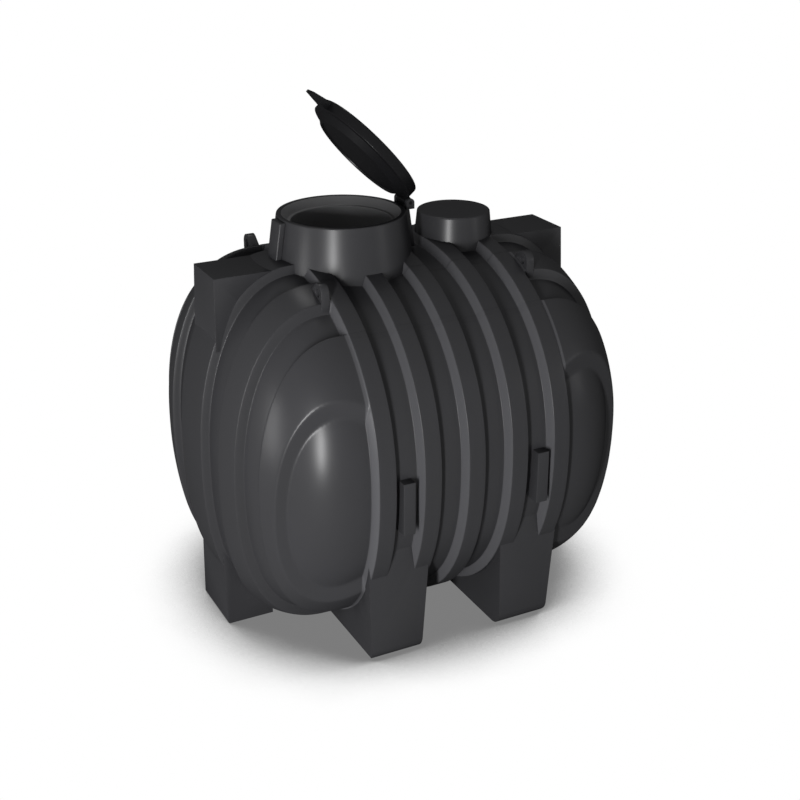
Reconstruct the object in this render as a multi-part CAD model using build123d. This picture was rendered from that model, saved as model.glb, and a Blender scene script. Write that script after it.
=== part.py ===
from build123d import *
from math import acos, atan2, cos, hypot, radians, sin, tan
import os

# Ribbed shell: rib faces (lands) lie on one rounded barrel, groove floors a rib height below it
half_width = 970
half_length = 1093
centre_z = 984
height_above = 900
height_below = 967
nose_drop = 85
straight_half = 556
roundness = 2.2
end_roundness = 2.38
section_points = 20
rib_height = 45
rib_root = 6
end_rib_step = 4
wall = 12

# Ribs round the long sides
side_rib_pitch = 236.6
side_rib_land = 87
side_rib_reach = 2
side_rib_draft = 20

# Ribs over the ends
end_centre_land = 290
end_rib_land = 152
end_rib_gap = 191
end_groove = 162
end_rib_draft = 10

# Flat that cuts each corner pad back to the groove level, so that an oval recess is left
recess_x = 935
recess_y = 746
recess_z = 981
recess_turn = 14
recess_lean = 3.7

# Pipe connection boxes
box_width = 282
box_top_z = 1859
box_end_x = 968
box_inner_x = 560
box_bottom_z = 1500
box_draft = 2

# Side feet
foot_length = 278
foot_centre_x = 365
foot_face_y = 845
foot_inner_y = 300
foot_top_z = 640
foot_draft = 2.5
foot_tip_radius = 78
foot_corner_radius = 46

# End feet
end_foot_width = 356
end_foot_face_x = 1008
end_foot_inner_x = 760
end_foot_top_z = 420
end_foot_draft = 3.5
end_foot_tip_radius = 12

# Strap blocks
strap_block_width = 62
strap_block_height = 270
strap_block_z = 894
strap_block_face_y = 978
strap_block_depth = 90

# Lifting lugs
lug_x = 555
lug_thickness = 40
lug_hole_y = 450
lug_hole_z = 1826
lug_hole_radius = 20
lug_crown_radius = 46
lug_inner_y = 338
lug_inner_z = 1797
lug_foot_z = 1690

# Manway neck
manway_x = -243
manway_rim_z = 2064
manway_rim_radius = 320
manway_draft = 8.6
manway_base_z = 1740
manway_throat_radius = 250
manway_seat_radius = 298
manway_seat_depth = 42
manway_rim_height = 46
manway_rim_fillet = 7

# Inspection neck, closed on top
inspection_x = 392
inspection_top_z = 1996
inspection_radius = 187
inspection_draft = 6
inspection_base_z = 1760
inspection_cap_thickness = 16
inspection_cap_fillet = 6
inspection_wall = 14

# Hinge, on a pilaster that follows the neck's taper
hinge_x = 108
hinge_z = 2077
pin_radius = 9
pin_clearance = 0.08
hinge_span = 140
bracket_ear_thickness = 20
bracket_plate = 4
bracket_gap = 1
knuckle_length = 90
knuckle_radius = 22
knuckle_clearance = 5
pilaster_offset = 30
pilaster_low_z = 1850

# Latch boss on the side away from the hinge
latch_boss_width = 110
latch_boss_drop = 8

# Lid, drawn shut and then swung open about the hinge
lid_radius = 313
lid_rise = 5
lid_thickness = 54
lid_crown = 15
lid_edge_fillet = 9
plug_root_radius = 284
plug_radius = 248
plug_depth = 31
plug_rim = 14
plug_hollow = 8
lid_open_angle = 49.4
arm_root_z = 3
tongue_width = 70
tongue_length = 104
tongue_tip = 14

# Room round a cutting shape
beyond = 3000
margin = 1

os.makedirs("parts", exist_ok=True)


def save(shape, name):
    export_step(shape, f"parts/{name}.step")


def largest(shape):
    return max(shape.solids(), key=lambda solid: solid.volume)


def slab(low, high):
    size = [high[k] - low[k] for k in range(3)]
    return Pos(*low) * Box(*size, align=(Align.MIN, Align.MIN, Align.MIN))


# Upright round of one radius, or a cone when the top radius differs
def round_bar(x, low_z, high_z, radius, top_radius=None):
    top = radius if top_radius is None else top_radius
    solid = Cylinder(radius, high_z - low_z) if top == radius else Cone(radius, top, high_z - low_z)
    return Pos(x, 0, (low_z + high_z) / 2) * solid


def cross_rod(x, z, radius, length):
    return Pos(x, 0, z) * Rot(90, 0, 0) * Cylinder(radius, length)


# Superellipse coordinate of a cosine or sine
def signed_power(value):
    return abs(value) ** (2 / roundness) * (1 if value >= 0 else -1)


# Share of the barrel's section left at t, 0 where the end begins and 1 at the nose
def end_share(t):
    return max(0.0, 1 - t**end_roundness) ** (1 / end_roundness)


# Section across the barrel at distance x from the middle, lowered by drop
def cross_section(x, drop=0.0):
    t = max(0.0, (abs(x) - straight_half) / (half_length - straight_half - drop))
    scale = end_share(t)
    middle = centre_z - nose_drop * t**2
    points = []
    for step in range(section_points):
        angle = radians(360 * step / section_points - 90)
        upward = signed_power(sin(angle))
        height = height_above if upward >= 0 else height_below
        points.append(Vector(x, scale * (half_width - drop) * signed_power(cos(angle)),
                             middle + scale * (height - drop) * upward))
    return Face(Wire([Edge.make_spline(points, periodic=True)]))


def straight_section(x, drop):
    return cross_section(0.0, drop).moved(Location((x, 0, 0)))


def barrel_end(drop):
    run = half_length - straight_half - drop
    places = [straight_half + run * t for t in (0, 0.25, 0.45, 0.62, 0.76, 0.87, 0.945, 0.985)]
    return loft([cross_section(x, drop) for x in places])


def barrel(drop=0.0):
    end = barrel_end(drop)
    middle = extrude(straight_section(-straight_half, drop), amount=2 * straight_half, dir=(1, 0, 0))
    return middle + end + end.mirror(Plane.YZ)


# Section along the barrel at distance y from the middle, from the outermost side rib to the nose
def long_section(y, drop):
    start = side_rib_reach * side_rib_pitch
    share = abs(y) / (half_width - drop)
    reach = end_share(share)
    points = []
    for angle in range(90, -91, -15):
        t = reach * cos(radians(angle)) ** (2 / end_roundness) if abs(angle) < 90 else 0.0
        left = max(0.0, end_share(t) ** roundness - share**roundness) ** (1 / roundness) if angle else 0.0
        height = height_above if angle > 0 else -height_below
        height = height - drop if height > 0 else height + drop
        points.append(Vector(straight_half + (half_length - straight_half - drop) * t, y,
                             centre_z - nose_drop * t**2 + left * height))
    top = Vector(start, y, points[0].Z)
    bottom = Vector(start, y, points[-1].Z)
    edges = [Edge.make_line(top, points[0]), Edge.make_spline(points), Edge.make_line(points[-1], bottom),
             Edge.make_line(bottom, top)]
    return Face(Wire(edges))


# Places and depths of an end rib's four edges; each drafted flank ends rib_root below the groove floor
def rib_stations(inner, outer):
    foot = end_rib_draft * (rib_height + rib_root) / rib_height
    low = rib_height + rib_root
    return [(inner - foot, low), (inner, end_rib_step), (outer, end_rib_step), (outer + foot, low)]


# Straight middle with all its side ribs, in one loft from groove to land and back
def ribbed_middle():
    half = side_rib_land / 2
    stations = [(-straight_half, rib_height)]
    for k in range(-side_rib_reach, side_rib_reach + 1):
        middle = k * side_rib_pitch
        stations += [(middle - half - side_rib_draft, rib_height), (middle - half, 0), (middle + half, 0),
                     (middle + half + side_rib_draft, rib_height)]
    stations.append((straight_half, rib_height))
    return loft([straight_section(x, drop) for x, drop in stations], ruled=True)


def end_rib(inner, outer):
    return loft([long_section(y, drop) for y, drop in rib_stations(inner, outer)], ruled=True)


# Land beyond the last end groove, cut back by a leaning flat where the oval recess is
def corner_pad():
    inner = end_centre_land / 2 + end_rib_gap + end_rib_land + end_groove
    start = side_rib_reach * side_rib_pitch
    straight = extrude(straight_section(start, end_rib_step), amount=straight_half - start, dir=(1, 0, 0))
    pad = (barrel_end(end_rib_step) + straight) & slab((start, inner, 0), (beyond, beyond, beyond))
    flat = Plane(origin=(recess_x, recess_y, recess_z),
                 z_dir=(tan(radians(recess_turn)), 1, -tan(radians(recess_lean))))
    return pad - flat * Box(beyond, beyond, beyond, align=(Align.CENTER, Align.CENTER, Align.MIN))


def ribbed_end():
    first = end_centre_land / 2 + end_rib_gap
    pad = corner_pad()
    end = barrel_end(rib_height) + end_rib(-end_centre_land / 2, end_centre_land / 2)
    end = end + end_rib(first, first + end_rib_land) + end_rib(-first - end_rib_land, -first)
    return end + pad + pad.mirror(Plane.XZ)


def ribbed_body():
    end = ribbed_end()
    return ribbed_middle() + end + end.mirror(Plane.YZ)


# Solid with level rectangles at its two ends and flat sides: each is (low x, high x, low y, high y, z)
def frustum(low, high):
    rings = [[(x0, y0, z), (x1, y0, z), (x1, y1, z), (x0, y1, z)] for x0, x1, y0, y1, z in (low, high)]
    outlines = list(rings)
    for i in range(len(rings[0])):
        outlines.append([rings[0][i - 1], rings[0][i], rings[1][i], rings[1][i - 1]])
    return Solid(Shell([Face(Wire.make_polygon(outline)) for outline in outlines]))


# Pipe connection box on one end, drawn on the +X side
def pipe_box():
    half = box_width / 2
    out = (box_top_z - box_bottom_z) * tan(radians(box_draft))
    return frustum((box_inner_x, box_end_x + out, -half - out, half + out, box_bottom_z),
                   (box_inner_x, box_end_x, -half, half, box_top_z))


# End foot, drawn on the +X side
def end_foot():
    half = end_foot_width / 2
    top = half - end_foot_top_z * tan(radians(end_foot_draft))
    block = frustum((end_foot_inner_x, end_foot_face_x, -half, half, 0),
                    (end_foot_inner_x, end_foot_face_x, -top, top, end_foot_top_z))
    tip = block.edges().filter_by(Axis.Y).group_by(Axis.Z)[0].group_by(Axis.X)[-1]
    return fillet(tip, end_foot_tip_radius)


# Side foot, drawn on the -Y side at +X: its end view and its front view, each with one rounded corner
def side_foot():
    left = foot_centre_x - foot_length / 2
    right = foot_centre_x + foot_length / 2
    out = foot_top_z * tan(radians(foot_draft))
    front = Polygon((left, 0), (right, 0), (right + out, foot_top_z), (left - out, foot_top_z), align=None)
    front = fillet(front.vertices().group_by(Axis.Y)[0].sort_by(Axis.X)[-1], foot_corner_radius)
    end = Polygon((-foot_face_y, 0), (-foot_inner_y, 0), (-foot_inner_y, foot_top_z),
                  (-foot_face_y - out, foot_top_z), align=None)
    end = fillet(end.vertices().group_by(Axis.Y)[0].sort_by(Axis.X)[0], foot_tip_radius)
    return extrude(Plane.XZ * front, amount=beyond) & extrude(Plane.YZ * end, amount=beyond)


def strap_block():
    half = strap_block_width / 2
    rise = strap_block_height / 2
    return slab((foot_centre_x - half, -strap_block_face_y, strap_block_z - rise),
                (foot_centre_x + half, -strap_block_face_y + strap_block_depth, strap_block_z + rise))


# Lifting lug, an upright plate: a round crown about the hole and a slope down to its inner foot
def lug():
    away = hypot(lug_hole_y - lug_inner_y, lug_inner_z - lug_hole_z)
    bearing = atan2(lug_inner_z - lug_hole_z, lug_hole_y - lug_inner_y) + acos(lug_crown_radius / away)
    touch = (-lug_hole_y + lug_crown_radius * cos(bearing), lug_hole_z + lug_crown_radius * sin(bearing))
    outer = -lug_hole_y - lug_crown_radius
    plate = Polygon((outer, lug_foot_z), (-lug_inner_y, lug_foot_z), (-lug_inner_y, lug_inner_z), touch,
                    (-lug_hole_y, lug_hole_z), (outer, lug_hole_z), align=None)
    plate = plate + Pos(-lug_hole_y, lug_hole_z) * Circle(lug_crown_radius)
    plate = plate - Pos(-lug_hole_y, lug_hole_z) * Circle(lug_hole_radius)
    return Pos(lug_x - lug_thickness / 2, 0, 0) * extrude(Plane.YZ * plate, amount=lug_thickness)


# Tapered outside of the manway neck up to its rim, or that far outside it
def manway_outside(offset=0.0):
    base = manway_rim_radius + (manway_rim_z - manway_base_z) * tan(radians(manway_draft))
    return round_bar(manway_x, manway_base_z, manway_rim_z, base + offset, manway_rim_radius + offset)


def manway_rim():
    low = manway_rim_z - manway_rim_height
    ring = manway_outside() & slab((-beyond, -beyond, low), (beyond, beyond, beyond))
    ring = fillet(ring.edges().group_by(Axis.Z)[-1], manway_rim_fillet)
    seat = round_bar(manway_x, manway_rim_z - manway_seat_depth, manway_rim_z + margin, manway_seat_radius)
    return ring - seat - round_bar(manway_x, low - margin, manway_rim_z, manway_throat_radius)


def manway_neck(body):
    low = manway_rim_z - manway_rim_height
    neck = manway_outside() & slab((-beyond, -beyond, 0), (beyond, beyond, low))
    return neck - round_bar(manway_x, 0, manway_rim_z, manway_throat_radius) - body


def inspection_outside():
    top = inspection_top_z - inspection_cap_thickness
    base = inspection_radius + (top - inspection_base_z) * tan(radians(inspection_draft))
    return round_bar(inspection_x, inspection_base_z, top, base, inspection_radius)


def save_inspection_neck(body):
    top = inspection_top_z - inspection_cap_thickness
    outside = inspection_outside()
    base = inspection_radius + (top - inspection_base_z) * tan(radians(inspection_draft))
    bore = round_bar(inspection_x, inspection_base_z, top, base - inspection_wall,
                     inspection_radius - inspection_wall)
    save(outside - bore - body - manway_outside(), "inspection_neck")
    cap = round_bar(inspection_x, top, inspection_top_z, inspection_radius)
    save(fillet(cap.edges().group_by(Axis.Z)[-1], inspection_cap_fillet), "inspection_cap")


# Rib on the neck's taper, on one side of the manway
def pilaster(width, low_z, top_z, side):
    edge = beyond * side
    zone = slab((min(manway_x, edge), -width / 2, low_z), (max(manway_x, edge), width / 2, top_z))
    return (manway_outside(pilaster_offset) & zone) - manway_outside()


def latch_block():
    return pilaster(latch_boss_width, manway_base_z, manway_rim_z - latch_boss_drop, -1)


def save_hinge(body):
    plate_top = hinge_z - knuckle_radius - knuckle_clearance
    pad_top = plate_top - bracket_plate
    save(largest(pilaster(hinge_span, pilaster_low_z, pad_top, 1) - body), "hinge_pilaster")
    half = hinge_span / 2
    bracket = slab((hinge_x - knuckle_radius - bracket_gap, -half, pad_top), (hinge_x + knuckle_radius, half, plate_top))
    for side in (-1, 1):
        middle = side * (half - bracket_ear_thickness / 2)
        eye = Pos(0, middle, 0) * cross_rod(hinge_x, hinge_z, knuckle_radius, bracket_ear_thickness)
        web = slab((hinge_x - knuckle_radius, middle - bracket_ear_thickness / 2, pad_top),
                   (hinge_x + knuckle_radius, middle + bracket_ear_thickness / 2, hinge_z))
        bracket = bracket + eye + web
    save(bracket - cross_rod(hinge_x, hinge_z, pin_radius, 2 * hinge_span), "hinge_bracket")
    save(cross_rod(hinge_x, hinge_z, pin_radius, hinge_span), "hinge_pin")


# Lid disc with a shallow crown, lying shut over the rim
def lid_disc(low):
    edge_top = low + lid_thickness
    disc = round_bar(manway_x, low, edge_top, lid_radius)
    disc = fillet(disc.edges().group_by(Axis.Z)[-1], lid_edge_fillet)
    flat = lid_radius - lid_edge_fillet
    sphere_radius = (flat**2 + lid_crown**2) / (2 * lid_crown)
    ball = Pos(manway_x, 0, edge_top + lid_crown - sphere_radius) * Sphere(sphere_radius)
    return disc + (ball & round_bar(manway_x, edge_top - margin, edge_top + 2 * lid_crown, flat))


def lid_plug(low):
    plug = round_bar(manway_x, low - plug_depth, low, plug_radius, plug_root_radius)
    return plug - round_bar(manway_x, low - plug_depth, low - plug_depth + plug_hollow, plug_radius - plug_rim)


def lid_knuckle(low):
    keep_out = round_bar(manway_x, low - margin, low + lid_thickness + margin, lid_radius)
    arm = slab((manway_x, -knuckle_length / 2, low + arm_root_z), (hinge_x, knuckle_length / 2, hinge_z + knuckle_radius))
    knuckle = cross_rod(hinge_x, hinge_z, knuckle_radius, knuckle_length) + (arm - keep_out)
    return largest(knuckle) - cross_rod(hinge_x, hinge_z, pin_radius + pin_clearance, 2 * hinge_span)


# Latch tongue, a wedge that thins towards its tip
def lid_tongue(low):
    tip = manway_x - lid_radius - tongue_length
    top = low + lid_thickness - lid_edge_fillet
    wedge = Polygon((tip, low), (manway_x, low), (manway_x, top), (manway_x - lid_radius, top), (tip, low + tongue_tip),
                    align=None)
    wedge = Pos(0, tongue_width / 2, 0) * extrude(Plane.XZ * wedge, amount=tongue_width)
    return largest(wedge - round_bar(manway_x, low - margin, low + lid_thickness + margin, lid_radius))


def save_lid():
    low = manway_rim_z + lid_rise
    swing = Pos(hinge_x, 0, hinge_z) * Rot(0, lid_open_angle, 0) * Pos(-hinge_x, 0, -hinge_z)
    save(swing * lid_disc(low), "lid_disc")
    save(swing * lid_plug(low), "lid_plug_ring")
    save(swing * lid_knuckle(low), "lid_hinge_knuckle")
    save(swing * lid_tongue(low), "lid_latch_tongue")


def save_shell(body):
    shell = body - barrel(rib_height + wall)
    throat = round_bar(manway_x, centre_z, manway_rim_z, manway_throat_radius)
    end = straight_half
    save(shell & slab((-beyond, -beyond, 0), (-end, beyond, beyond)), "near_end_shell")
    save(shell & slab((end, -beyond, 0), (beyond, beyond, beyond)), "far_end_shell")
    save((shell & slab((-end, -beyond, centre_z), (end, beyond, beyond))) - throat, "roof_shell")
    save(shell & slab((-end, -beyond, 0), (end, beyond, centre_z)), "belly_shell")


def save_corner_pieces(body):
    for piece, name in ((side_foot(), "foot"), (strap_block(), "strap_block"), (lug(), "lug")):
        piece = largest(piece - body)
        save(piece, f"front_right_{name}")
        save(piece.mirror(Plane.YZ), f"front_left_{name}")
        save(piece.mirror(Plane.XZ), f"rear_right_{name}")
        save(piece.mirror(Plane.YZ).mirror(Plane.XZ), f"rear_left_{name}")


def build():
    body = ribbed_body()
    save_shell(body)
    box = pipe_box()
    save(largest(box - body - inspection_outside()), "outlet_box")
    save(largest(box.mirror(Plane.YZ) - body - manway_outside() - latch_block()), "inlet_box")
    foot = largest(end_foot() - body)
    save(foot, "far_end_foot")
    save(foot.mirror(Plane.YZ), "near_end_foot")
    save_corner_pieces(body)
    save(manway_neck(body), "manway_neck")
    save(manway_rim(), "manway_rim")
    save(largest(latch_block() - body), "latch_boss")
    save_inspection_neck(body)
    save_hinge(body)
    save_lid()


build()
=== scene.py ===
import math

import bpy
import bmesh
import numpy as np
from mathutils import Matrix, Vector


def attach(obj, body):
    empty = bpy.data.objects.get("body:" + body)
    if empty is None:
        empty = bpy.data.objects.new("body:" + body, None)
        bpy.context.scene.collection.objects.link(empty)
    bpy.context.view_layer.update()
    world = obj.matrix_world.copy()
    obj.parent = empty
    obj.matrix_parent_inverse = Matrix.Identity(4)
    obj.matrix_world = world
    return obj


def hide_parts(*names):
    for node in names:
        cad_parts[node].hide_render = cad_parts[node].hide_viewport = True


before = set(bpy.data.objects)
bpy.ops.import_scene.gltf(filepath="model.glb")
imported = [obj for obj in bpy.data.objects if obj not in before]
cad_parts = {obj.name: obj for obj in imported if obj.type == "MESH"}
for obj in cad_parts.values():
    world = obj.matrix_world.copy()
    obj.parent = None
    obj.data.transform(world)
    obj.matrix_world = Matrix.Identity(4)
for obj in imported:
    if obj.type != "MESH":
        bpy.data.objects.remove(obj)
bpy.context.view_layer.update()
mm = 0.001

# The ribbed shell, in millimetres, as it is moulded
shell = {
    "halfWidth": 970, "halfLength": 1093, "centreZ": 984, "heightAbove": 900, "heightBelow": 967,
    "noseDrop": 85, "straightHalf": 556, "roundness": 2.2, "endRoundness": 2.38,
    "ribHeight": 45, "wall": 12, "edgeRound": 3.5, "endStep": 4,
    "sidePitch": 236.6, "sideLand": 87, "sideDraft": 20, "sideReach": 2,
    "endCentreLand": 290, "endLand": 152, "endGap": 191, "endGroove": 162, "endDraft": 10,
    "recess": (935, 746, 981), "recessTurn": 14, "recessLean": 3.7, "recessSoft": 1.2, "rimFrom": 0.985, "rimSteps": 8,
    "fill": 12, "fillPad": 6, "fillLength": 17, "arcLines": 300,
}
mergeWithin = 0.00005  # metres: corners closer than this are one


# Corner of a profile rounded by an arc of that radius
def rounded(points, radii, steps=6):
    out = []
    count = len(points)
    for i, (p, r) in enumerate(zip(points, radii)):
        p = np.array(p, float)
        if r == 0 or i in (0, count - 1):
            out.append(tuple(p))
            continue
        a, b = np.array(points[i - 1], float) - p, np.array(points[i + 1], float) - p
        la, lb = np.linalg.norm(a), np.linalg.norm(b)
        a, b = a / la, b / lb
        half = 0.5 * math.acos(float(np.clip(a @ b, -1, 1)))
        back = min(r / math.tan(half), 0.49 * la, 0.49 * lb)
        r = back * math.tan(half)
        centre = p + (a + b) / np.linalg.norm(a + b) * r / math.sin(half)
        start, end = p + a * back - centre, p + b * back - centre
        turn = math.atan2(start[0] * end[1] - start[1] * end[0], start @ end)
        for k in range(steps + 1):
            w = turn * k / steps
            out.append(tuple(centre + np.array([start[0] * math.cos(w) - start[1] * math.sin(w),
                                                start[0] * math.sin(w) + start[1] * math.cos(w)])))
    return out


# Points added along a profile so that no step is longer than fill
def filled(profile, fill):
    out = [profile[0]]
    for a, b in zip(profile, profile[1:]):
        count = max(1, math.ceil(math.dist(a, b) / fill))
        out += [(a[0] + (b[0] - a[0]) * k / count, a[1] + (b[1] - a[1]) * k / count) for k in range(1, count + 1)]
    return np.array(out)


# (place, drop) across the end ribs; place is y carried out to the barrel's own surface
def crossProfile():
    s = shell
    width, low, step = s["halfWidth"], s["ribHeight"], s["endStep"]
    first = s["endCentreLand"] / 2 + s["endGap"]
    out = lambda y, drop: y / (1 - drop / width)
    pad = first + s["endLand"] + s["endGroove"]
    points = [(0, step)]
    for edge, run in ((s["endCentreLand"] / 2, s["endDraft"]), (first, -s["endDraft"]),
                      (first + s["endLand"], s["endDraft"]), (pad, -0.5)):
        pair = [(out(edge, step), step), (out(edge + run, low), low)]
        points += pair if run > 0 else pair[::-1]
    points += [(out(pad, step) + 20, step), (width * s["rimFrom"], step)]
    corners = rounded(points, [0] + [s["edgeRound"]] * 8 + [0, 0], 4)
    profile = np.vstack([filled(corners[:-1], s["fill"]), filled(corners[-2:], s["fillPad"])[1:]])
    rim = width * np.sin(np.linspace(np.arcsin(s["rimFrom"]), np.pi / 2, s["rimSteps"] + 1)[1:])
    profile = np.vstack([profile, np.c_[rim, np.full(s["rimSteps"], step)]])
    return np.vstack([profile[:0:-1] * (-1, 1), profile])


# (x, drop) along the side ribs
def lengthProfile():
    s = shell
    half, low = s["sideLand"] / 2, s["ribHeight"]
    points = [(-s["straightHalf"], low)]
    for k in range(-s["sideReach"], s["sideReach"] + 1):
        middle = k * s["sidePitch"]
        points += [(middle - half - s["sideDraft"], low), (middle - half, 0), (middle + half, 0),
                   (middle + half + s["sideDraft"], low)]
    points.append((s["straightHalf"], low))
    return filled(rounded(points, [0] + [s["edgeRound"]] * (len(points) - 2) + [0], 4), s["fillLength"])


# Superellipsoid with a straight middle: share^n + up^n = (1 - t^m)^(n/m), t from 0 at its end to 1 at the nose
def shareLeft(t):
    return np.clip(1 - t ** shell["endRoundness"], 0, 1) ** (1 / shell["endRoundness"])


def heightLeft(share, t):
    n = shell["roundness"]
    return np.clip(shareLeft(t) ** n - share ** n, 0, 1) ** (1 / n)


# Drop at which a point, sinking from the land, meets the leaning flat
# |y| = flatY + (flatX - |x|) tan(turn) + (z - flatZ) tan(lean)
def recessDrop(x, y, z, t, upward):
    s = shell
    flatX, flatY, flatZ = s["recess"]
    turn, lean = math.tan(math.radians(s["recessTurn"])), math.tan(math.radians(s["recessLean"]))
    above = np.abs(y) - flatY - (flatX - x) * turn - (z - flatZ) * lean
    rate = np.abs(y) / s["halfWidth"] + t * turn - upward * lean
    drop = above / rate
    soft = s["recessSoft"]
    ramp = lambda v: 0.5 * (v + np.sqrt(v * v + soft * soft))
    return s["endStep"] + ramp(drop - s["endStep"]) - ramp(drop - s["ribHeight"])


# Drop over the end ribs and pads at a point of the barrel's own surface
def endDrop(y, bandDrop, x, z, t, upward):
    s = shell
    pad = s["endCentreLand"] / 2 + s["endGap"] + s["endLand"] + s["endGroove"]
    cut = recessDrop(x, y, z, t, upward)
    return np.where(np.abs(y) > pad, np.maximum(bandDrop, cut), bandDrop)


# End of the shell: each arc runs from the roof over the nose to the belly
def endGrid(profile, side, lining=None, arcLines=None):
    s = shell
    arc = np.linspace(np.pi / 2, -np.pi / 2, arcLines or s["arcLines"])
    y, phi = np.meshgrid(profile[:, 0], arc, indexing="ij")
    band = np.repeat(profile[:, 1:], len(arc), 1)
    share = np.abs(y) / s["halfWidth"]
    t = shareLeft(share) * np.cos(phi).clip(0) ** (2 / s["endRoundness"])
    t[:, 0] = 0
    t[:, -1] = 0
    upward = np.sign(phi) * heightLeft(share, t)
    height = np.where(phi >= 0, s["heightAbove"], s["heightBelow"])
    run = s["halfLength"] - s["straightHalf"]
    centre = s["centreZ"] - s["noseDrop"] * t ** 2
    drop = endDrop(y, band, s["straightHalf"] + run * t, centre + height * upward, t, upward)
    if lining is not None:
        drop = np.full_like(y, lining)
    return np.stack([side * (s["straightHalf"] + (run - drop) * t), y * (1 - drop / s["halfWidth"]),
                     centre + (height - drop) * upward], -1) * mm


# Straight middle of the shell, roof (up = 1) or belly (up = -1)
def middleGrid(profile, lengths, up, lining=None):
    s = shell
    x, y = np.meshgrid(lengths[:, 0], profile[:, 0], indexing="ij")
    along, band = np.meshgrid(lengths[:, 1], profile[:, 1], indexing="ij")
    height = s["heightAbove"] if up > 0 else s["heightBelow"]
    upward = up * heightLeft(np.abs(y) / s["halfWidth"], np.zeros_like(y))
    ends = endDrop(y, band, np.abs(x), s["centreZ"] + height * upward, 0 * y, upward)
    drop = np.where(np.abs(x) > s["sideReach"] * s["sidePitch"], np.minimum(along, ends), along)
    if lining is not None:
        drop = np.full_like(x, lining)
    return np.stack([x, y * (1 - drop / s["halfWidth"]), s["centreZ"] + (height - drop) * upward], -1) * mm


# Mesh from a grid of points; flip turns the faces over, keep picks the faces that stay
def gridMesh(name, points, flip=False, keep=None, closeU=False):
    rows, columns = points.shape[:2]
    index = np.arange(rows * columns).reshape(rows, columns)
    if closeU:
        index = np.vstack([index, index[:1]])
    quads = np.stack([index[:-1, :-1], index[1:, :-1], index[1:, 1:], index[:-1, 1:]], -1).reshape(-1, 4)
    if flip:
        quads = quads[:, ::-1]
    vertices = points.reshape(-1, 3)
    if keep is not None:
        quads = quads[keep(vertices[quads].mean(1))]
    return meshFrom(name, vertices, quads)


def meshFrom(name, vertices, faces):
    mesh = bpy.data.meshes.new(name)
    mesh.from_pydata(vertices.tolist(), [], [list(map(int, face)) for face in faces])
    tidy = bmesh.new()
    tidy.from_mesh(mesh)
    bmesh.ops.remove_doubles(tidy, verts=tidy.verts, dist=mergeWithin)
    loose = [v for v in tidy.verts if not v.link_faces]
    bmesh.ops.delete(tidy, geom=loose, context="VERTS")
    tidy.to_mesh(mesh)
    tidy.free()
    mesh.shade_smooth()
    piece = bpy.data.objects.new(name, mesh)
    bpy.context.collection.objects.link(piece)
    return piece


# Surface of revolution about an upright line at x: profile of (radius, z) points
def turned(name, x, profile, turns=160):
    profile = np.array(profile, float)
    angle = np.linspace(0, 2 * np.pi, turns, endpoint=False)
    radius, z = profile[:, 0], profile[:, 1]
    points = np.stack([x + np.outer(np.cos(angle), radius), np.outer(np.sin(angle), radius),
                       np.tile(z, (turns, 1))], -1) * mm
    return gridMesh(name, points, closeU=True)


print("shell skins")
cross = crossProfile()
lengths = lengthProfile()
manway = {"x": -243, "rimZ": 2064, "rimRadius": 320, "draft": 8.6, "throat": 250, "seat": 298, "seatLow": 266,
          "seatDepth": 42, "baseZ": 1720, "skinClear": 30, "liningClear": 20}
skins = {
    "nearEndSkin": (endGrid(cross, -1), False, "near_end_shell"),
    "farEndSkin": (endGrid(cross, 1), True, "far_end_shell"),
    "roofSkin": (middleGrid(cross, lengths, 1), False, "roof_shell"),
    "bellySkin": (middleGrid(cross, lengths, -1), True, "belly_shell"),
}


# Picks the faces that stand clear of the manway's throat by that many millimetres
def clearOfThroat(clearance):
    reach = (manway["throat"] + clearance) * mm
    return lambda c: np.hypot(c[:, 0] - manway["x"] * mm, c[:, 1]) > reach


pieces = {}
for name, (points, flip, node) in skins.items():
    keep = clearOfThroat(manway["skinClear"]) if name == "roofSkin" else None
    piece = gridMesh(name, points, flip, keep)
    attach(piece, "root")
    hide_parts(node)
    pieces[name] = piece
    print(name, len(piece.data.polygons) * 2)

lining = shell["ribHeight"] + shell["wall"]
turnsY = np.sin(np.linspace(-np.pi / 2, np.pi / 2, 91))
coarse = np.c_[shell["halfWidth"] * np.sign(turnsY) * np.abs(turnsY) ** (2 / shell["roundness"]), 0 * turnsY]
coarseX = np.c_[np.linspace(-shell["straightHalf"], shell["straightHalf"], 40), np.zeros(40)]
insides = [(endGrid(coarse, side, lining, 60), side < 0) for side in (-1, 1)]
insides += [(middleGrid(coarse, coarseX, up, lining), up < 0) for up in (1, -1)]
lined = []
for i, (points, flip) in enumerate(insides):
    keep = clearOfThroat(manway["liningClear"]) if i == 2 else None  # the roof's lining
    lined.append(gridMesh("lining%d" % i, points, not flip, keep))


def joined(name, parts):
    bpy.ops.object.select_all(action="DESELECT")
    for part in parts:
        part.select_set(True)
    bpy.context.view_layer.objects.active = parts[0]
    bpy.ops.object.join()
    parts[0].name = name
    return parts[0]


insideWall = joined("insideWall", lined)
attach(insideWall, "root")
pieces["insideWall"] = insideWall

print("necks")
taper = math.tan(math.radians(manway["draft"]))
baseRadius = manway["rimRadius"] + (manway["rimZ"] - manway["baseZ"]) * taper
neckProfile = rounded([
    (manway["throat"], manway["baseZ"]), (manway["throat"], manway["rimZ"] - manway["seatDepth"]),
    (manway["seatLow"], manway["rimZ"] - manway["seatDepth"]), (manway["seat"], manway["rimZ"]),
    (manway["rimRadius"], manway["rimZ"]), (baseRadius, manway["baseZ"])], [0, 4, 6, 5, 7, 0])
neck = turned("manwayNeck", manway["x"], neckProfile[::-1])
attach(neck, "root")
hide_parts("manway_neck", "manway_rim")
pieces["manwayNeck"] = neck

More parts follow.
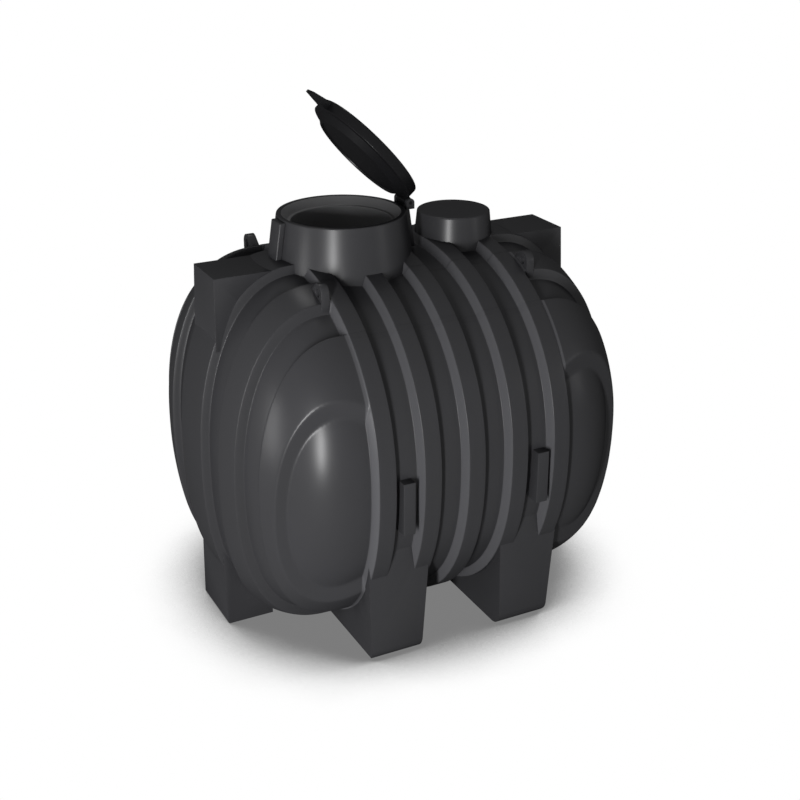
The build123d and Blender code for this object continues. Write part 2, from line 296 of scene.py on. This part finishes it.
inspection = {"x": 392, "topZ": 1996, "radius": 187, "draft": 6, "baseZ": 1740, "edge": 9}
capSlope = math.tan(math.radians(inspection["draft"]))
foot = inspection["radius"] + (inspection["topZ"] - inspection["baseZ"]) * capSlope
capProfile = rounded([(0.01, inspection["topZ"]), (inspection["radius"], inspection["topZ"]),
                      (foot, inspection["baseZ"])], [0, inspection["edge"], 0])
cap = turned("inspectionNeck", inspection["x"], capProfile[::-1], 128)
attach(cap, "root")
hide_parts("inspection_neck", "inspection_cap")
pieces["inspectionNeck"] = cap


edges = {"flatWithin": 1.0, "sharpFrom": 25}  # degrees between two faces


# Copy of a CAD node's solid with its doubles merged and its edges rounded
def softened(node, name, body, width, segments=3):
    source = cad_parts[node]
    mesh = source.data.copy()
    piece = bpy.data.objects.new(name, mesh)
    bpy.context.collection.objects.link(piece)
    tidy = bmesh.new()
    tidy.from_mesh(mesh)
    bmesh.ops.remove_doubles(tidy, verts=tidy.verts, dist=mergeWithin)
    bmesh.ops.dissolve_limit(tidy, angle_limit=math.radians(edges["flatWithin"]), verts=tidy.verts,
                             edges=tidy.edges)
    tidy.to_mesh(mesh)
    tidy.free()
    mesh.shade_smooth()
    bevel = piece.modifiers.new("edge", "BEVEL")
    bevel.width = width * mm
    bevel.segments = segments
    bevel.limit_method = "ANGLE"
    bevel.angle_limit = math.radians(edges["sharpFrom"])
    bevel.harden_normals = True
    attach(piece, body)
    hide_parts(node)
    pieces[name] = piece


print("moulded blocks")
softened("inlet_box", "inletBox", "root", 4)
softened("outlet_box", "outletBox", "root", 4)
softened("near_end_foot", "nearEndFoot", "root", 5)
softened("far_end_foot", "farEndFoot", "root", 5)
for row in ("front", "rear"):
    for place in ("left", "right"):
        tag = row + place.capitalize()
        softened(f"{row}_{place}_foot", tag + "Foot", "root", 12, 4)
        softened(f"{row}_{place}_strap_block", tag + "StrapBlock", "root", 3)
        softened(f"{row}_{place}_lug", tag + "Lug", "root", 4)
softened("latch_boss", "latchBoss", "root", 5)
softened("hinge_pilaster", "hingePilaster", "root", 4)
softened("hinge_bracket", "hingeBracket", "root", 2)
softened("lid_hinge_knuckle", "lidKnuckle", "lid", 2)
softened("lid_latch_tongue", "lidTongue", "lid", 3)

print("lid")
lid = {"radius": 313, "low": 2069, "thickness": 54, "crown": 15, "plugRoot": 284, "plug": 248, "plugDepth": 31,
       "plugRim": 14, "plugHollow": 8, "openAngle": 49.4, "hinge": (108, 2077)}
top = lid["low"] + lid["thickness"]
crown = [(lid["radius"] * k / 12, top + lid["crown"] * (1 - (k / 12) ** 2)) for k in range(12)]
crown[0] = (0.01, top + lid["crown"])
hollow = lid["plug"] - lid["plugRim"]
underside = [(lid["radius"], lid["low"]), (lid["plugRoot"], lid["low"]), (lid["plug"], lid["low"] - lid["plugDepth"]),
             (hollow, lid["low"] - lid["plugDepth"]), (hollow - 2, lid["low"] - lid["plugDepth"] + lid["plugHollow"]),
             (0.01, lid["low"] - lid["plugDepth"] + lid["plugHollow"])]
profile = rounded(crown + [(lid["radius"], top)] + underside, [0] * 12 + [9, 4, 5, 4, 2, 2, 0])
lidPan = turned("lidPan", manway["x"], profile[::-1], 192)
angle = math.radians(lid["openAngle"])
hinge = Vector((lid["hinge"][0] * mm, 0, lid["hinge"][1] * mm))
swing = Matrix.Translation(hinge) @ Matrix.Rotation(angle, 4, "Y") @ Matrix.Translation(-hinge)
lidPan.data.transform(swing)
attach(lidPan, "lid")
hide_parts("lid_disc", "lid_plug_ring")
pieces["lidPan"] = lidPan


# Colours are written as sRGB hex and turned to linear once, here
def linear(code):
    parts = [int(code[i:i + 2], 16) / 255 for i in (1, 3, 5)]
    return tuple(p / 12.92 if p <= 0.04045 else ((p + 0.055) / 1.055) ** 2.4 for p in parts) + (1,)


def addNode(tree, kind, settings=None, links=None):
    node = tree.nodes.new(kind)
    for key, value in (settings or {}).items():
        if isinstance(key, int) or key in node.inputs:
            node.inputs[key].default_value = value
        else:
            setattr(node, key, value)
    for key, socket in (links or {}).items():
        tree.links.new(socket, node.inputs[key])
    return node


# Smooth plastic off a rotating mould: one flat satin tone with slow clouds in it and a faint fine grain. Given paler,
# it also gets a paler band on the sides of the ribs, which is painted light
def mouldedPolyethylene(name, look, paler=None):
    material = bpy.data.materials.new(name)
    material.use_nodes = True
    tree = material.node_tree
    tree.nodes.clear()
    place = addNode(tree, "ShaderNodeTexCoord")
    cloud = addNode(tree, "ShaderNodeTexNoise", {"Scale": 1000 / look["cloudSize"], "Detail": 2.0},
                    {"Vector": place.outputs["Object"]})
    colour = addNode(tree, "ShaderNodeMix", {"data_type": "RGBA"}, {0: cloud.outputs["Fac"]})
    colour.inputs[6].default_value = linear(look["dark"])
    colour.inputs[7].default_value = linear(look["light"])
    tone = colour.outputs[2]
    if paler:
        part = addNode(tree, "ShaderNodeSeparateXYZ", None, {"Vector": place.outputs["Object"]})
        # Metres from the middle of the nearest rib: between the two bounds the tone is painted paler, as painted light
        # on the sides of the rib
        across = addNode(tree, "ShaderNodeMath", {"operation": "PINGPONG", 1: paler["pitch"] / 2 * mm},
                         {0: part.outputs["X"]})
        begin = addNode(tree, "ShaderNodeMapRange", {"interpolation_type": "SMOOTHSTEP",
                        "From Min": (paler["from"] - 4) * mm, "From Max": (paler["from"] + 3) * mm},
                        {"Value": across.outputs[0]})
        over = addNode(tree, "ShaderNodeMapRange", {"interpolation_type": "SMOOTHSTEP",
                       "From Min": (paler["to"] - 3) * mm, "From Max": (paler["to"] + 4) * mm,
                       "To Min": 1.0, "To Max": 0.0}, {"Value": across.outputs[0]})
        band = addNode(tree, "ShaderNodeMath", {"operation": "MULTIPLY"}, {0: begin.outputs[0], 1: over.outputs[0]})
        paintedLightTone = addNode(tree, "ShaderNodeMix", {"data_type": "RGBA"}, {0: band.outputs[0], 6: tone})
        paintedLightTone.inputs[7].default_value = linear(paler["tone"])
        tone = paintedLightTone.outputs[2]
    grain = addNode(tree, "ShaderNodeTexNoise", {"Scale": 1000 / look["grainSize"], "Detail": 2.0},
                    {"Vector": place.outputs["Object"]})
    gloss = addNode(tree, "ShaderNodeMapRange", {"To Min": look["roughness"] - 0.02,
                                                 "To Max": look["roughness"] + 0.02}, {"Value": grain.outputs["Fac"]})
    bump = addNode(tree, "ShaderNodeBump", {"Strength": 0.05, "Distance": 0.0005}, {"Height": grain.outputs["Fac"]})
    skin = addNode(tree, "ShaderNodeBsdfPrincipled", {"Specular IOR Level": 0.0},
                   {"Base Color": tone, "Roughness": gloss.outputs[0], "Normal": bump.outputs[0]})
    sheen = addNode(tree, "ShaderNodeBsdfGlossy", {"Color": (1, 1, 1, 1)},
                    {"Roughness": gloss.outputs[0], "Normal": bump.outputs[0]})
    satin = addNode(tree, "ShaderNodeMixShader", {0: look["satin"]}, {1: skin.outputs[0], 2: sheen.outputs[0]})
    addNode(tree, "ShaderNodeOutputMaterial", None, {"Surface": satin.outputs[0]})
    return material


print("finishes")
looks = {
    "tank": {"dark": "#212122", "light": "#232325", "roughness": 0.32, "satin": 0.009, "cloudSize": 420,
             "grainSize": 5},
    "lid": {"dark": "#0b0b0c", "light": "#0d0d0e", "roughness": 0.3, "satin": 0.005, "cloudSize": 300,
            "grainSize": 5},
    # inside: its paler tone is painted light; its higher roughness is the duller unmoulded surface
    "inside": {"dark": "#525253", "light": "#565657", "roughness": 0.5, "satin": 0.01, "cloudSize": 300,
               "grainSize": 5},
}
tankSkin = mouldedPolyethylene("rotomouldedPolyethylene", looks["tank"])
lidSkin = mouldedPolyethylene("lidPolyethylene", looks["lid"])
# The plastic isn't really paler on the sides of the long ribs: this stands in for light that the lamps don't bring
# there, and it lies on both sides of every rib
ribEdge = shell["sideLand"] / 2
flankPaintedLight = {"pitch": shell["sidePitch"], "from": ribEdge, "to": ribEdge + shell["sideDraft"], "tone": "#363638"}
paintedLightRibSkin = mouldedPolyethylene("ribbedPolyethylenePaintedLight", looks["tank"], flankPaintedLight)
insidePaintedLightSkin = mouldedPolyethylene("insideOfMouldPaintedLight", looks["inside"])
for name, piece in pieces.items():
    skin = lidSkin if name.startswith("lid") else paintedLightRibSkin if name in ("roofSkin", "bellySkin") else tankSkin
    piece.data.materials.clear()
    piece.data.materials.append(skin)
# The inside never touched the mould, and is duller. Its paler tone stands in for light down the manway
pieces["insideWall"].data.materials[0] = insidePaintedLightSkin
# The neck's throat and seat take the same paler tone: painted light there too
neck.data.materials.append(insidePaintedLightSkin)
for face in neck.data.polygons:
    away = math.hypot(face.center.x - manway["x"] * mm, face.center.y)
    if away < (manway["seat"] - 2) * mm:
        face.material_index = 1
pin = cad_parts["hinge_pin"]
pin.material_slots[0].material = lidSkin

print("studio")
studio = {"floorSize": 80, "skyLight": 0.3, "shade": (0.38, 0.78), "shadeTone": 0.2, "shadeReach": 0.75,
          "clearFrom": 1.6, "clearBy": 2.6, "lampAim": 1.2}
# name: (degrees round from -Y towards -X, degrees up, metres away, width m, height m, radiance)
lamps = {"keyStrip": (40, 4, 7.0, 0.5, 3.0, 190), "leftStrip": (85, 2, 4.0, 0.7, 1.5, 20),
         "topSoftbox": (-168, 70, 7.0, 1.6, 1.6, 14), "rightSoftbox": (-44, 12, 7.0, 1.2, 2.4, 4)}


# True for the rays that see the backdrop: from the camera, or off metal and glass
def seenRays(tree):
    path = addNode(tree, "ShaderNodeLightPath")
    either = addNode(tree, "ShaderNodeMath", {"operation": "MAXIMUM"})
    tree.links.new(path.outputs["Is Camera Ray"], either.inputs[0])
    tree.links.new(path.outputs["Is Glossy Ray"], either.inputs[1])
    every = addNode(tree, "ShaderNodeMath", {"operation": "MAXIMUM"})
    tree.links.new(either.outputs[0], every.inputs[0])
    tree.links.new(path.outputs["Is Transmission Ray"], every.inputs[1])
    return every.outputs[0]


world = bpy.data.worlds.new("studioSky")
bpy.context.scene.world = world
world.use_nodes = True
sky = world.node_tree
sky.nodes.clear()
soft = addNode(sky, "ShaderNodeBackground", {"Color": (1, 1, 1, 1), "Strength": studio["skyLight"]})
white = addNode(sky, "ShaderNodeBackground", {"Color": (1, 1, 1, 1), "Strength": 1.0})
blend = addNode(sky, "ShaderNodeMixShader", None, {0: seenRays(sky), 1: soft.outputs[0], 2: white.outputs[0]})
addNode(sky, "ShaderNodeOutputWorld", None, {"Surface": blend.outputs[0]})

half = studio["floorSize"] / 2
floor = meshFrom("studioFloor", np.array([(-half, -half, 0), (half, -half, 0), (half, half, 0), (-half, half, 0)]),
                 [(0, 1, 2, 3)])
# White paper that glows. The grey under the tank comes from ambient occlusion, not from the lamps' shadows
paper = bpy.data.materials.new("whitePaperSweep")
paper.use_nodes = True
sheet = paper.node_tree
sheet.nodes.clear()
place = addNode(sheet, "ShaderNodeTexCoord")
away = addNode(sheet, "ShaderNodeVectorMath", {"operation": "LENGTH"}, {0: place.outputs["Object"]})
clear = addNode(sheet, "ShaderNodeMapRange", {"interpolation_type": "SMOOTHSTEP", "From Min": studio["clearFrom"],
                                              "From Max": studio["clearBy"]}, {"Value": away.outputs["Value"]})
nook = addNode(sheet, "ShaderNodeAmbientOcclusion", {"samples": 16, "Distance": studio["shadeReach"]})
glow = addNode(sheet, "ShaderNodeMapRange", {"interpolation_type": "SMOOTHSTEP", "From Min": studio["shade"][0],
                                             "From Max": studio["shade"][1], "To Min": studio["shadeTone"]},
               {"Value": nook.outputs["AO"]})
level = addNode(sheet, "ShaderNodeMix", None, {0: clear.outputs[0], 2: glow.outputs[0]})
level.inputs[3].default_value = 1.0
shine = addNode(sheet, "ShaderNodeEmission", {"Color": (1, 1, 1, 1)}, {"Strength": level.outputs[0]})
matt = addNode(sheet, "ShaderNodeBsdfDiffuse", {"Color": (0.5, 0.5, 0.5, 1)})
look = addNode(sheet, "ShaderNodeMixShader", None, {0: seenRays(sheet), 1: matt.outputs[0], 2: shine.outputs[0]})
addNode(sheet, "ShaderNodeOutputMaterial", None, {"Surface": look.outputs[0]})
floor.data.materials.append(paper)

middle = Vector((0, 0, studio["lampAim"]))
for name, (around, up, distance, width, height, radiance) in lamps.items():
    a, e = math.radians(around), math.radians(up)
    way = Vector((-math.sin(a) * math.cos(e), -math.cos(a) * math.cos(e), math.sin(e)))
    lamp = bpy.data.lights.new(name, "AREA")
    lamp.shape = "RECTANGLE"
    lamp.size, lamp.size_y = width, height
    lamp.energy = radiance * math.pi * width * height
    piece = bpy.data.objects.new(name, lamp)
    bpy.context.collection.objects.link(piece)
    piece.location = middle + way * distance
    piece.rotation_mode = "QUATERNION"
    piece.rotation_quaternion = (-way).to_track_quat("-Z", "Y")

# Camera as the photograph's: 60 mm lens on a 36 mm frame, turned and tipped from +Y
view = {"lens": 59.87, "place": (-2.897, -5.813, 3.827), "turn": 27.15, "tip": 23.53}
camera = bpy.data.objects.new("photoCamera", bpy.data.cameras.new("photoCamera"))
bpy.context.collection.objects.link(camera)
camera.data.lens = view["lens"]
camera.data.sensor_width = 36
camera.location = view["place"]
turn, tip = math.radians(view["turn"]), math.radians(view["tip"])
camera.rotation_mode = "QUATERNION"
camera.rotation_quaternion = Vector((math.sin(turn) * math.cos(tip), math.cos(turn) * math.cos(tip),
                                     -math.sin(tip))).to_track_quat("-Z", "Y")
bpy.context.scene.camera = camera
bpy.context.scene.view_settings.view_transform = "Standard"
